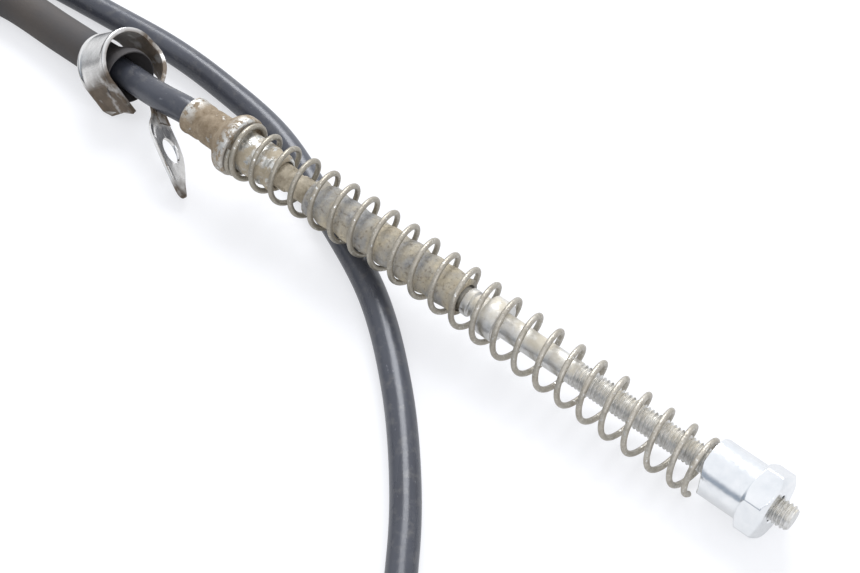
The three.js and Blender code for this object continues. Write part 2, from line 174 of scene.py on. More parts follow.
def spline(points, spacing):
    """A centripetal Catmull-Rom curve through the points, as points about spacing apart."""
    points = np.asarray(points, float)
    whole = np.vstack((2 * points[0] - points[1], points, 2 * points[-1] - points[-2]))
    p0, p1, p2, p3 = whole[:-3], whole[1:-2], whole[2:-1], whole[3:]
    d0, d1, d2 = (
        np.sqrt(np.linalg.norm(b - a, axis=1, keepdims=True))
        for a, b in ((p0, p1), (p1, p2), (p2, p3))
    )
    m1 = d1 * ((p1 - p0) / d0 - (p2 - p0) / (d0 + d1) + (p2 - p1) / d1)
    m2 = d1 * ((p2 - p1) / d1 - (p3 - p1) / (d1 + d2) + (p3 - p2) / d2)
    t = np.linspace(0, 1, 40, endpoint=False)[None, :, None]
    p1, p2, m1, m2 = (a[:, None] for a in (p1, p2, m1, m2))
    fine = (
        (2 * t**3 - 3 * t**2 + 1) * p1 + (t**3 - 2 * t**2 + t) * m1
        + (3 * t**2 - 2 * t**3) * p2 + (t**3 - t**2) * m2
    ).reshape(-1, 3)
    fine = np.vstack((fine, points[-1]))
    along = np.concatenate(([0], np.cumsum(np.linalg.norm(np.diff(fine, axis=0), axis=1))))
    stations = np.linspace(0, along[-1], max(2, int(round(along[-1] / spacing)) + 1))
    return np.stack([np.interp(stations, along, fine[:, k]) for k in range(3)], -1)


def skin(name, grid, own, material, loop=False, sharp=38):
    """A mesh over a grid of points: rows along the piece, columns around it. The last row joins the first
    in a loop, and else each end is closed by a fan to its centre. Faces are turned outward if the volume
    comes out negative. Its own coordinates, the piece's place before it was bent or tilted, go with it in
    metres as the attribute own."""
    rows, columns = grid.shape[:2]
    index = np.arange(rows * columns).reshape(rows, columns)
    down = np.roll(index, -1, 0) if loop else index[1:]
    left = index if loop else index[:-1]
    faces = np.stack((left, np.roll(left, -1, 1), np.roll(down, -1, 1), down), -1).reshape(-1, 4)
    points, places = grid.reshape(-1, 3), own.reshape(-1, 3)
    faces = faces.tolist()
    if not loop:
        head, tail = index[0], index[-1]
        head_centre, tail_centre = np.full(columns, len(points)), np.full(columns, len(points) + 1)
        points = np.vstack((points, grid[0].mean(0), grid[-1].mean(0)))
        places = np.vstack((places, own[0].mean(0), own[-1].mean(0)))
        faces += np.stack((head_centre, np.roll(head, -1), head), -1).tolist()
        faces += np.stack((tail_centre, tail, np.roll(tail, -1)), -1).tolist()
    first, second, third = (points[[face[k] for face in faces]] - points.mean(0) for k in range(3))
    volume = np.einsum("ij,ij->i", first, np.cross(second, third)).sum()
    if volume < 0:
        faces = [f[::-1] for f in faces]
    mesh = bpy.data.meshes.new(name)
    mesh.from_pydata(points.tolist(), [], faces)
    attribute = mesh.attributes.new("own", "FLOAT_VECTOR", "POINT")
    attribute.data.foreach_set("vector", (places * MM).ravel())
    mesh.polygons.foreach_set("use_smooth", np.ones(len(faces), bool))
    mesh.set_sharp_from_angle(angle=math.radians(sharp))
    mesh.materials.append(material)
    piece = bpy.data.objects.new(name, mesh)
    bpy.context.scene.collection.objects.link(piece)
    return piece


def film(piece, amount):
    """How much of a mark lies at each point of a piece, from 0 to 1, kept as the attribute film: on the clip
    grime, with painted shade on the inner face of its loop; on the ferrule where its dust has flaked off.
    """
    values = np.zeros(len(piece.data.vertices))
    values[:amount.size] = np.asarray(amount, float).ravel()
    piece.data.attributes.new("film", "FLOAT", "POINT").data.foreach_set("value", values)


# Materials

def linear(code):
    """An sRGB hex colour as linear red, green, blue and alpha."""
    values = [int(code[i:i + 2], 16) / 255 for i in (0, 2, 4)]
    return [v / 12.92 if v <= 0.04045 else ((v + 0.055) / 1.055) ** 2.4 for v in values] + [1.0]


def add(tree, kind, inputs=None, **settings):
    """One node with its settings; each input is a value, or a socket to link from."""
    made = tree.nodes.new(kind)
    for key, value in settings.items():
        setattr(made, key, value)
    for key, value in (inputs or {}).items():
        if isinstance(value, bpy.types.NodeSocket):
            tree.links.new(value, made.inputs[key])
        else:
            made.inputs[key].default_value = value
    return made


def surface(name, **values):
    """A new material with one Principled shader, and the piece's own coordinates in metres."""
    material = bpy.data.materials.new(name)
    material.use_nodes = True
    tree = material.node_tree
    shader = tree.nodes["Principled BSDF"]
    for key, value in values.items():
        shader.inputs[key].default_value = value
    own = add(tree, "ShaderNodeAttribute", attribute_name="own").outputs["Vector"]
    return material, tree, shader, own


def patches(tree, where, size, low, high, detail=5.0, roughness=0.6, stretch=(1, 1, 1)):
    """A mask from noise with blotches about size mm across: 0 where the noise is under low, 1 over high."""
    scaled = add(tree, "ShaderNodeMapping", {"Vector": where, "Scale": stretch}).outputs[0]
    noise = add(
        tree, "ShaderNodeTexNoise",
        {"Vector": scaled, "Scale": 1000 / size, "Detail": detail, "Roughness": roughness},
    ).outputs["Fac"]
    return add(tree, "ShaderNodeMapRange", {"Value": noise, 1: low, 2: high}).outputs[0]


def facing_up(tree, low, high):
    """1 where the surface faces up, where dust settles, and 0 where it faces down."""
    normal = add(tree, "ShaderNodeNewGeometry").outputs["Normal"]
    z = add(tree, "ShaderNodeSeparateXYZ", {0: normal}).outputs[2]
    return add(tree, "ShaderNodeMapRange", {"Value": z, 1: low, 2: high}).outputs[0]


def coats(tree, colour, *layers):
    """A colour under layers of grime, wear and painted shade. Each layer gives its mask, its colour, and how
    much of that colour covers what lies under it where the mask is 0 and where the mask is 1."""
    for mask, over, low, high in layers:
        cover = add(tree, "ShaderNodeMapRange", {"Value": mask, 3: low, 4: high}).outputs[0]
        colour = add(tree, "ShaderNodeMix", {0: cover, 6: colour, 7: over}, data_type="RGBA").outputs[2]
    return colour


def finish(tree, shader, colour, height, depth, mask=None, **ranges):
    """The shader's colour, and a relief of that depth in mm from a height between 0 and 1. Each input named
    in ranges goes from its first to its second value as the mask goes from 0 to 1."""
    tree.links.new(colour, shader.inputs["Base Color"])
    relief = add(tree, "ShaderNodeBump", {"Height": height, "Distance": depth * MM, "Strength": 1.0})
    tree.links.new(relief.outputs[0], shader.inputs["Normal"])
    for name, (low, high) in ranges.items():
        level = add(tree, "ShaderNodeMapRange", {"Value": mask, 3: low, 4: high})
        tree.links.new(level.outputs[0], shader.inputs[name])


def pvc_sheath():
    """Extruded black PVC: satin, slightly bluish, with fine scuffs along it and a little dust."""
    material, tree, shader, own = surface("pvc_sheath")
    mottle = patches(tree, own, 9, 0.3, 0.7, stretch=(0.25, 1, 1))
    specks = patches(tree, own, 3.0, 0.52, 0.78)
    dust = add(
        tree, "ShaderNodeMath", {0: specks, 1: facing_up(tree, -0.3, 0.9)},
        operation="MULTIPLY", use_clamp=True,
    ).outputs[0]
    scuffs = patches(tree, own, 0.9, 0.66, 0.76, stretch=(0.35, 1, 1))
    colour = coats(
        tree, linear("3A3C43"),
        (mottle, linear("484B53"), 0, 1),
        (dust, linear("85827B"), 0, 0.35),
        (scuffs, linear("A0A2AA"), 0, 0.35),
    )
    drag_lines = patches(tree, own, 1.6, 0.2, 0.8, stretch=(0.4, 1, 1))
    finish(tree, shader, colour, drag_lines, 0.03, mottle, Roughness=(0.24, 0.33))
    return material


def rubber_sleeve():
    """Thick moulded rubber sleeve: matte dark grey, with brown road dust rubbed in."""
    material, tree, shader, own = surface("rubber_sleeve", Roughness=0.72)
    dust = patches(tree, own, 14, 0.35, 0.75, stretch=(0.5, 1, 1))
    colour = coats(tree, linear("3D3D3F"), (dust, linear("594F45"), 0, 0.6))
    finish(tree, shader, colour, patches(tree, own, 0.8, 0.2, 0.8), 0.04)
    return material


def dusty_metal(name, dust, metal, shine, worn, bare_below, full_above, edge=0.0):
    """Zinc-plated steel under baked road dust: matte dust, with bright metal where it has rubbed off. The
    dust is whole where the noise is over full_above and gone where it is under bare_below, and it is thinner
    where the piece's film says so and, with edge, on its outer corners."""
    material, tree, shader, own = surface(name)
    cover = patches(tree, own, worn, bare_below, full_above, detail=7, roughness=0.65)
    flakes = patches(tree, own, 1.8, 0.44, 0.52, detail=7, roughness=0.7)
    bare_place = add(tree, "ShaderNodeAttribute", attribute_name="film").outputs["Fac"]
    flaked = add(
        tree, "ShaderNodeMath", {0: bare_place, 1: flakes}, operation="MULTIPLY", use_clamp=True
    ).outputs[0]
    cover = add(
        tree, "ShaderNodeMath", {0: cover, 1: flaked}, operation="SUBTRACT", use_clamp=True
    ).outputs[0]
    if edge:
        corner = add(tree, "ShaderNodeNewGeometry").outputs["Pointiness"]
        rubbed = add(tree, "ShaderNodeMapRange", {"Value": corner, 1: 0.52, 2: 0.52 + edge}).outputs[0]
        cover = add(
            tree, "ShaderNodeMath", {0: cover, 1: rubbed}, operation="SUBTRACT", use_clamp=True
        ).outputs[0]
    grain = patches(tree, own, 0.5, 0.35, 0.7)
    dusty = coats(
        tree, linear(dust[0]),
        (patches(tree, own, 2.2, 0.3, 0.7, detail=8), linear(dust[1]), 0, 1),
        (grain, linear(dust[2]), 0, 0.35),
    )
    bare = coats(tree, linear(metal[0]), (patches(tree, own, 1.1, 0.3, 0.7), linear(metal[1]), 0, 1))
    film_height = add(tree, "ShaderNodeMapRange", {"Value": cover, 3: 0.0, 4: 0.6}).outputs[0]
    grain_height = add(tree, "ShaderNodeMapRange", {"Value": grain, 3: 0.0, 4: 0.4}).outputs[0]
    height = add(
        tree, "ShaderNodeMath", {0: film_height, 1: grain_height}, operation="ADD", use_clamp=True
    ).outputs[0]
    finish(
        tree, shader, coats(tree, bare, (cover, dusty, 0, 1)), height, 0.08,
        cover, Metallic=(0.95, 0.08), Roughness=(shine, 0.82),
    )
    return material


def boot_rubber():
    """Grey rubber boot under tan dust: the dust stays in broad smears, the rubber shows between them."""
    material, tree, shader, own = surface("boot_rubber", Roughness=0.85)
    smear = patches(tree, own, 6.5, 0.37, 0.60, detail=6, stretch=(1.2, 0.8, 0.8))
    tan = coats(
        tree, linear("A59A85"), (patches(tree, own, 3.0, 0.3, 0.7, detail=8), linear("C4BAA2"), 0, 1)
    )
    bare = coats(tree, linear("888888"), (patches(tree, own, 1.6, 0.35, 0.65), linear("A5A4A0"), 0, 1))
    pits = patches(tree, own, 0.9, 0.54, 0.68, detail=7)
    colour = coats(tree, bare, (smear, tan, 0, 1), (pits, linear("655B4C"), 0, 0.6))
    finish(tree, shader, colour, patches(tree, own, 1.6, 0.25, 0.75, detail=7), 0.3)
    return material


def spring_steel():
    """Cold-drawn spring wire: grimy grey-brown film, bright silver where the film has chipped off."""
    material, tree, shader, own = surface("spring_steel")
    x = add(tree, "ShaderNodeSeparateXYZ", {0: own}).outputs[0]
    # The wire's colour goes lighter along the rod toward the nut.
    toward_nut = add(tree, "ShaderNodeMapRange", {"Value": x, 1: 0.02, 2: 0.12}).outputs[0]
    chips = patches(tree, own, 0.7, 0.6, 0.68, detail=6)
    colour = coats(
        tree, linear("A19B8D"),
        (toward_nut, linear("C6C1B6"), 0, 1),
        (patches(tree, own, 2.0, 0.3, 0.7, detail=7), linear("A19A8C"), 0, 1),
        (patches(tree, own, 0.45, 0.5, 0.7), linear("7A7366"), 0, 0.5),
        (chips, linear("E6E6E2"), 0, 1),
    )
    scale = patches(tree, own, 0.6, 0.3, 0.7, detail=6)
    finish(tree, shader, colour, scale, 0.05, chips, Metallic=(0.55, 0.95), Roughness=(0.38, 0.25))
    return material


def zinc_rod():
    """Bright zinc plating on the rod: light beige dust on top, silver with soft streaks at the side."""
    material, tree, shader, own = surface("zinc_rod")
    settled = patches(tree, own, 5.0, 0.3, 0.6, detail=7)
    dust = add(
        tree, "ShaderNodeMath", {0: settled, 1: facing_up(tree, 0.35, 0.85)},
        operation="MULTIPLY", use_clamp=True,
    ).outputs[0]
    colour = coats(
        tree, linear("CBCAC6"),
        (patches(tree, own, 1.5, 0.3, 0.7, detail=7), linear("E9E9E8"), 0, 1),
        (dust, linear("CFC7B4"), 0.05, 0.9),
        (patches(tree, own, 0.6, 0.62, 0.72), linear("968D7E"), 0, 0.6),
    )
    drawn = patches(tree, own, 0.7, 0.3, 0.7, detail=6)
    finish(tree, shader, colour, drawn, 0.03, dust, Metallic=(1.0, 0.15), Roughness=(0.3, 0.8))
    return material


def zinc_nut():
    """Fresh bright zinc: a clear bluish silver that mirrors the room softly."""
    material, tree, shader, own = surface("zinc_nut", Metallic=1.0)
    colour = coats(tree, linear("EDF0F2"), (patches(tree, own, 4.0, 0.3, 0.7), linear("FCFDFD"), 0, 1))
    haze = patches(tree, own, 0.9, 0.3, 0.7)
    ripple = patches(tree, own, 1.8, 0.3, 0.7)
    finish(tree, shader, colour, ripple, 0.015, haze, Roughness=(0.12, 0.24))
    return material


def nickel_strip():
    """Plated strip steel: bright and smooth, turning brown where the piece's film says so: grime low down on
    the strap, painted shade on its inner face inside the loop, and the tab darker toward its tip and root.
    """
    material, tree, shader, own = surface("nickel_strip")
    # The film attribute marks grime and, on the inner face of the loop, painted shade; both turn the strip
    # brown.
    grime_and_shade_place = add(tree, "ShaderNodeAttribute", attribute_name="film").outputs["Fac"]
    grime_and_shade = add(
        tree, "ShaderNodeMath", {0: grime_and_shade_place, 1: patches(tree, own, 4.0, 0.25, 0.5, detail=6)},
        operation="MULTIPLY", use_clamp=True,
    ).outputs[0]
    brown = coats(
        tree, linear("4E4439"), (patches(tree, own, 2.0, 0.3, 0.7, detail=7), linear("6E6152"), 0, 1)
    )
    bright = coats(tree, linear("E0DEDA"), (patches(tree, own, 2.5, 0.3, 0.7), linear("F4F3F0"), 0, 1))
    colour = coats(tree, bright, (grime_and_shade, brown, 0, 1))
    ripple = patches(tree, own, 1.6, 0.3, 0.7, detail=4)
    finish(tree, shader, colour, ripple, 0.015, grime_and_shade, Metallic=(1.0, 0.3), Roughness=(0.22, 0.65))
    return material


def liner_nylon():
    """Nylon liner tube under greasy tan dust, matte and uneven."""
    material, tree, shader, own = surface("liner_nylon", Roughness=0.6)
    dust = patches(tree, own, 2.0, 0.35, 0.6, detail=7)
    finish(tree, shader, coats(tree, linear("857A66"), (dust, linear("B9AE98"), 0, 1)), dust, 0.06)
    return material


def stranded_wire():
    """Galvanised strand: fine wires laid round each other at a slant, grey with grease between them. A band
    is drawn 0.9 mm wide, about twice the width of a real wire of the strand, so that it shows."""
    material, tree, shader, own = surface("stranded_wire", Metallic=1.0, Roughness=0.35)
    lay = add(
        tree, "ShaderNodeTexWave", {"Vector": own, "Scale": 700.0, "Distortion": 1.0},
        bands_direction="DIAGONAL",
    ).outputs["Fac"]
    finish(tree, shader, coats(tree, linear("6C6C69"), (lay, linear("B5B5B0"), 0, 1)), lay, 0.08)
    return material


def nylon_band():
    """Black nylon band, moulded and slightly glossy."""
    material, tree, shader, own = surface("nylon_band", Roughness=0.42)
    colour = coats(tree, linear("1B1C1E"), (patches(tree, own, 2.0, 0.3, 0.7), linear("26272A"), 0, 1))
    finish(tree, shader, colour, patches(tree, own, 0.6, 0.3, 0.7), 0.02)
    return material


PVC = pvc_sheath()
SLEEVE_RUBBER = rubber_sleeve()
FERRULE_STEEL = dusty_metal(
    "ferrule_steel", ("78674F", "A99A84", "63543F"), ("BDBCB6", "E2E2DE"),
    shine=0.3, worn=4.5, bare_below=0.33, full_above=0.42, edge=0.05,
)
GUIDE_STEEL = dusty_metal(
    "guide_steel", ("A0957F", "BDB29D", "857966"), ("BDBDB7", "E8E8E4"),
    shine=0.3, worn=3.2, bare_below=0.40, full_above=0.52, edge=0.06,
)
BOOT_RUBBER = boot_rubber()
SPRING_STEEL = spring_steel()
ZINC_ROD = zinc_rod()
ZINC_NUT = zinc_nut()
NICKEL = nickel_strip()
LINER = liner_nylon()
WIRE = stranded_wire()
BAND = nylon_band()
LEVER_ZINC = dusty_metal(
    "lever_zinc", ("8A857A", "A8A398", "77726A"), ("A8A8A4", "CDCDC9"),
    shine=0.3, worn=5.0, bare_below=0.55, full_above=0.75,
)


# Camera

VIEW_AZIMUTH, VIEW_ELEVATION = math.radians(40.3), math.radians(48.5)
VIEW_DISTANCE = 457.8
VIEW_TARGET = np.array((-16.8, 6.1, 0.0))
FOCAL_PIXELS = 1937
IMAGE_WIDTH = 860


def photo_camera():
    """The camera looks at the target from its azimuth and elevation, level, with the photograph's lens."""
    camera = bpy.data.cameras.new("camera")
    camera.sensor_width = 36
    camera.lens = 36 * FOCAL_PIXELS / IMAGE_WIDTH
    camera.clip_start, camera.clip_end = 0.02, 20
    back = np.array((
        math.sin(VIEW_AZIMUTH) * math.cos(VIEW_ELEVATION),
        -math.cos(VIEW_AZIMUTH) * math.cos(VIEW_ELEVATION),
        math.sin(VIEW_ELEVATION),
    ))
    holder = bpy.data.objects.new("camera", camera)
    holder.location = (VIEW_TARGET + back * VIEW_DISTANCE) * MM
    holder.rotation_euler = (math.pi / 2 - VIEW_ELEVATION, 0, VIEW_AZIMUTH)
    bpy.context.scene.collection.objects.link(holder)
    bpy.context.scene.camera = holder


photo_camera()


# Cord: the sheath from the wheel-end ferrule through the coil to the lever end

def arc(centre, radius, start, end, z, count, z_end=None):
    """Points on a level arc, its angles in degrees, with z going evenly to z_end."""
    angle = np.radians(np.linspace(start, end, count + 1))
    heights = np.linspace(z, z if z_end is None else z_end, count + 1)
    return np.stack((centre[0] + radius * np.cos(angle), centre[1] + radius * np.sin(angle), heights), -1)


# Both strands lie on the table against the coil. The sheath enters it at one angle and leaves it at
# another, and it starts down from the top layer after a number of turns.
STRAND_RADIUS = COIL_OUTER + SHEATH_RADIUS + 0.3
FLOOR_HEIGHT = SHEATH_RADIUS + 0.1
STRAND_HEIGHT = FLOOR_HEIGHT + 0.2
ENTRY_ANGLE, EXIT_ANGLE = 186, 266
TURNS_TO_DESCENT = 5.08
ROUTE_STEP = 2.0
SWEEP_CENTRE = (-164.6, -22)


def coil_turns():
    """The coil: three turns side by side on the table, wound inward, and the rest wound back out on top.
    Each place is a turn, a radius and a height; radius and height go smoothly from place to place, and the
    last part rounds the outer turn on a quarter circle down to the table."""
    column = (COIL_OUTER - COIL_INNER) / 3
    outer, middle, inner = (COIL_OUTER - column * (k + 0.5) for k in range(3))
    low = COIL_FLOOR + COIL_HEIGHT / 4
    high = low + COIL_HEIGHT / 2
    last = 5 + (EXIT_ANGLE - ENTRY_ANGLE) / 360
    start = 6 / 360
    places = [
        (start, STRAND_RADIUS, STRAND_HEIGHT), (0.12, outer, low),
        (0.72, outer, low), (1.0, middle, low), (1.72, middle, low), (2.0, inner, low),
        (2.68, inner, low), (3.0, inner, high), (3.57, inner, high), (3.85, middle, high),
        (4.57, middle, high), (4.85, outer, high), (TURNS_TO_DESCENT, outer, high),
    ]
    for step in range(1, 5):
        round_angle = math.pi / 2 * (1 - step / 4)
        reach = 2 * SHEATH_RADIUS + 0.15
        places.append((
            TURNS_TO_DESCENT + (last - 0.004 - TURNS_TO_DESCENT) * step / 4,
            outer + reach * math.cos(round_angle),
            low + reach * math.sin(round_angle),
        ))
    turn, radius, height = np.array(places).T
    fine = np.linspace(start + 0.02, last - 0.008, 240)
    slot = np.clip(np.searchsorted(turn, fine) - 1, 0, len(turn) - 2)
    t = (fine - turn[slot]) / (turn[slot + 1] - turn[slot])
    t = np.where(turn[slot] < 5.0, smooth(t), t)
    radius = radius[slot] + (radius[slot + 1] - radius[slot]) * t
    height = height[slot] + (height[slot + 1] - height[slot]) * t
    angle = np.radians(ENTRY_ANGLE + 360 * fine)
    return np.stack((
        COIL_CENTRE[0] + radius * np.cos(angle),
        COIL_CENTRE[1] + radius * np.sin(angle),
        height,
    ), -1)


def wheel_strand():
    """The strand from the ferrule down to the table, through clip and sleeve, round to the coil."""
    ferrule_points = on_rod([(FERRULE_REAR + 2.3, 0, 0), (FERRULE_REAR - 1.5, 0, -0.15)]) / MM
    chosen = [
        (-97.2, 0.4, 15.6), (-104.5, 1.6, 13.6), (-113.6, 3.2, 11.6), (-121.6, 4.6, 9.6),
        (-130.5, 6.1, 7.4), (-145, 7.4, 5.7),
        *arc(SWEEP_CENTRE, 30, 90, ENTRY_ANGLE, SLEEVE_RADIUS + 0.2, 5), (-191, -52, 4.4),
        *arc(COIL_CENTRE, STRAND_RADIUS, ENTRY_ANGLE, ENTRY_ANGLE + 6, STRAND_HEIGHT, 1),
    ]
    return np.vstack((ferrule_points, chosen))


def lever_strand():
    """The strand from the coil round in a wide bend, under the spring and on to the lever end."""
    edge = COIL_CENTRE[1] - STRAND_RADIUS
    return np.vstack([
        arc(COIL_CENTRE, STRAND_RADIUS, EXIT_ANGLE, 270, STRAND_HEIGHT, 1),
        [(-100, edge, FLOOR_HEIGHT), (-50, edge, FLOOR_HEIGHT)],
        arc((-2.2, -88), 43.8, 270, 385, FLOOR_HEIGHT, 6),
        [(x, y, FLOOR_HEIGHT) for x, y in (
            (29.6, -57.4), (18, -43.1), (-0.4, -24.6), (-23.2, -7), (-50, 6.2), (-76, 17.2),
            (-101.2, 21.7), (-119.8, 23.1), (-141.6, 22.3),
        )],
        arc(SWEEP_CENTRE, 43, 90, 180, FLOOR_HEIGHT, 6, LEVER_HEIGHT),
        [(LEVER_X, LEVER_START + 4, LEVER_HEIGHT), (LEVER_X, LEVER_START + 0.3, LEVER_HEIGHT)],
    ])


ROUTE = spline(np.vstack((wheel_strand(), coil_turns(), lever_strand())), ROUTE_STEP)


def sheath():
    """The sheath's outer surface along the whole route."""
    points, straight = tube(ROUTE, SHEATH_RADIUS, 28)
    return skin("sheath", points * MM, straight, PVC)


SHEATH = sheath()
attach(SHEATH, "casing")
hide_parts("sheath_wheel_end", "sheath_lever_end", "sheath_coil")


# Wheel-end fittings

def fitting(name, outline, material, body, node, cut=0.3, sides=64, place=on_rod, closed=True):
    """A turned fitting: its outline of (x, radius) in mm, corners eased, revolved and put in place."""
    outline = eased(outline, cut, closed=closed)
    own = revolved(outline, sides)
    piece = skin(name, place(own), own, material, loop=closed)
    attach(piece, body)
    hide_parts(node)
    return piece


def ferrule():
    """Crimped barrel with a rolled rear lip, two crimp grooves, a rounded shoulder and the flange."""
    outline = np.array([
        (0, 1.4), (0, 7.3), (-0.5, 7.75), (-2.7, 7.75), (-3.6, 7.2), (-4.6, 6.2), (-5.5, 5.2),
        (-6.8, 4.64), (-10.6, 4.6), (-11.1, 4.4), (-11.9, 4.4), (-12.4, 4.6), (-15.2, 4.6),
        (-15.7, 4.78), (-16.8, 4.75), (-17.2, 4.35), (-17.2, 3.62), (-14.5, 3.62), (-14.5, 1.4),
    ]) + (FLANGE_FRONT, 0)
    piece = fitting(
        "ferrule_shell", outline, FERRULE_STEEL, "casing", "ferrule", cut=0.35
    )
    own = np.array([v.vector for v in piece.data.attributes["own"].data]) / MM
    x, y, z = own.T
    upper = np.clip((z + 0.4 * y) / 3.0, 0, 1)
    rear = np.clip(1 - np.abs(x - FLANGE_FRONT + 16.0) / 3.0, 0, 1) * upper
    rim = np.clip(1 - np.abs(x - FLANGE_FRONT + 1.0) / 2.2, 0, 1) * np.clip((z - y + 3) / 6, 0, 1)
    film(piece, np.maximum(rear, rim))
    return piece


def guide_tube():
    """Guide tube with a bead at each end and a chamfered mouth."""
    outline = [
        (0.3, 3.55), (GUIDE_END, 3.55), (GUIDE_END, 4.2), (13.6, 4.8), (12.4, 5.0), (11.9, 4.7),
        (10.4, 4.65), (9.9, 5.0), (6.6, 5.1), (3.0, 5.0), (0.3, 5.1),
    ]
    return fitting("guide_sleeve", outline, GUIDE_STEEL, "casing", "guide_tube", cut=0.4)


def guide_liner():
    """Liner tube whose front end carries the boot."""
    outline = [
        (0.3, 1.4), (LINER_END, 1.4), (LINER_END, 2.7), (26.4, 3.1), (19.8, 3.1), (19.4, 2.75), (17.0, 2.7),
        (16.6, 3.24), (0.3, 3.24),
    ]
    return fitting(
        "liner_tube", outline, LINER, "casing", "guide_liner", cut=0.25, sides=48
    )


def dust_boot():
    """The rubber boot: shallow folds along its length, dented and twisted a little out of round, with an
    open lip at each end. Its radius is the mean radius, less the folds, plus slow waves round and along
    it."""
    length = BOOT_END - BOOT_START
    x = np.linspace(0, length, 260)
    angle = np.linspace(0, 2 * math.pi, 96, endpoint=False)
    xx, aa = np.meshgrid(x, angle, indexing="ij")
    lips = np.clip(np.minimum(xx, length - xx) / 2.0, 0, 1)
    phase = 2 * math.pi * xx / 5.9 + 0.7 * np.sin(aa + 0.11 * xx) + 0.5 * np.sin(0.35 * xx)
    folds = 0.5 - 0.5 * np.cos(phase)
    depth = 0.55 * (0.7 + 0.3 * np.sin(0.23 * xx + 2 * aa)) * lips
    dents = (
        0.13 * np.sin(2 * aa + 0.21 * xx)
        + 0.09 * np.sin(3 * aa - 0.33 * xx + 1.3)
        + 0.05 * np.sin(5 * aa + 0.6 * xx)
    )
    outer = 4.78 - depth * folds**1.5 + dents * lips
    outer -= 0.35 * (1 - np.clip(np.minimum(xx, length - xx) / 0.5, 0, 1)) ** 2
    inner = np.maximum(outer - 1.0, 3.3)
    inner = np.where(lips < 1, 3.55 + (inner - 3.55) * lips, inner)
    radius = np.vstack((outer, inner[::-1]))
    xs, angles = np.vstack((xx, xx[::-1])) + BOOT_START, np.vstack((aa, aa[::-1]))
    own = np.stack((xs, radius * np.cos(angles), radius * np.sin(angles)), -1)
    piece = skin("bellows_boot", on_rod(own), own, BOOT_RUBBER, loop=True, sharp=60)
    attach(piece, "casing")
    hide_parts("dust_boot")
    return piece


FIRST_TOP = 7.4
SPRING_PITCH = 6.18
TOP_ANGLE = math.radians(33.7)


def return_spring():
    """Right-hand helix: one closed turn on the flange, twenty-one even turns, and half a closed turn at the
    nut. It lies a little high over the boot and hangs low at the nut; its section is a round wire."""
    turn = np.linspace(-1.7, 21.55, 1400)
    even_turns = np.arange(0, 21)
    even_places = FIRST_TOP + SPRING_PITCH * even_turns
    x = np.interp(
        turn, (-1.7, -0.85, *even_turns, 21, 21.55), (1.95, 2.1, *even_places, 136.7, 137.5)
    )
    window = np.hanning(25)
    padded = np.concatenate((np.full(12, x[0]), x, np.full(12, x[-1])))
    x = np.convolve(padded, window / window.sum(), "valid")
    angle = TOP_ANGLE + 2 * math.pi * turn
    wave = np.sin(math.pi * x / 85)
    hang = (x / NUT_START) ** 2
    centre = np.stack((x, 0.65 * wave - 0.5 * hang, 0.8 * wave - 0.6 * hang), -1)
    radial = np.stack((np.zeros_like(x), np.cos(angle), np.sin(angle)), -1)
    path = centre + SPRING_RADIUS * radial
    tangent = np.gradient(path, axis=0)
    tangent /= np.linalg.norm(tangent, axis=1, keepdims=True)
    across = np.cross(tangent, radial)
    phi = np.linspace(0, 2 * math.pi, 14, endpoint=False)[None, :, None]
    own = path[:, None] + SPRING_WIRE * (np.cos(phi) * radial[:, None] + np.sin(phi) * across[:, None])
    piece = skin("compression_spring", on_rod(own), own, SPRING_STEEL)
    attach(piece, "casing")
    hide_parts("return_spring")
    return piece


def pull_rod():
    """Spigot, grooved tail, collar and shank, turned, then the M6 thread: its radius is a rounded ridge
    that goes once round for each pitch, faded in at the shank and out at the chamfered tip."""
    tail = TAIL_START
    body = eased([
        (tail - 5, 0.001), (tail - 5, 2.9), (tail, 2.9), (tail, 3.2), (tail + 0.3, 3.35),
        (tail + 1.9, 3.35), (tail + 2.2, 2.75), (tail + 3.2, 2.75), (tail + 3.5, 3.35),
        (COLLAR_START - 0.4, 3.3),
        (COLLAR_START, 3.6), (COLLAR_START, 4.7), (COLLAR_START + 0.25, 4.95), (COLLAR_END - 0.25, 4.95),
        (COLLAR_END, 4.7), (COLLAR_END, 3.1), (COLLAR_END + 0.3, 2.9), (THREAD_START - 1.2, 2.9),
        (THREAD_START - 0.4, 2.95),
    ], 0.25, closed=False)
    body_rows = revolved(body, 64)
    pitch, depth = 1.0, 0.5
    x = np.arange(THREAD_START, ROD_TIP, pitch / 14)
    angle = np.linspace(0, 2 * math.pi, 64, endpoint=False)
    xx, aa = np.meshgrid(x, angle, indexing="ij")
    wave = np.abs(((xx / pitch - aa / (2 * math.pi)) % 1.0) - 0.5) * 2
    groove = np.clip((wave - 0.12) / 0.76, 0, 1)
    fade = np.clip((xx - THREAD_START) / 1.0, 0, 1)
    radius = 2.98 - depth * groove * fade
    radius = np.minimum(radius, 2.98 - np.clip(xx - (ROD_TIP - 0.9), 0, 1) * 0.75)
    thread_rows = np.stack((xx, radius * np.cos(aa), radius * np.sin(aa)), -1)
    own = np.concatenate((body_rows, thread_rows))
    piece = skin("threaded_rod", on_rod(own), own, ZINC_ROD, sharp=32)
    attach(piece, "rod")
    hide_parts("pull_rod")
    return piece


HEX_TURN = math.radians(-13)
HEX_FLAT, HEX_CORNER = 7.5, 8.5
NUT_BORE, NUT_BODY, NUT_EDGE = 3.3, 6.75, 0.3
SADDLE_RADIUS, SADDLE_DEPTH = 11.0, 1.3


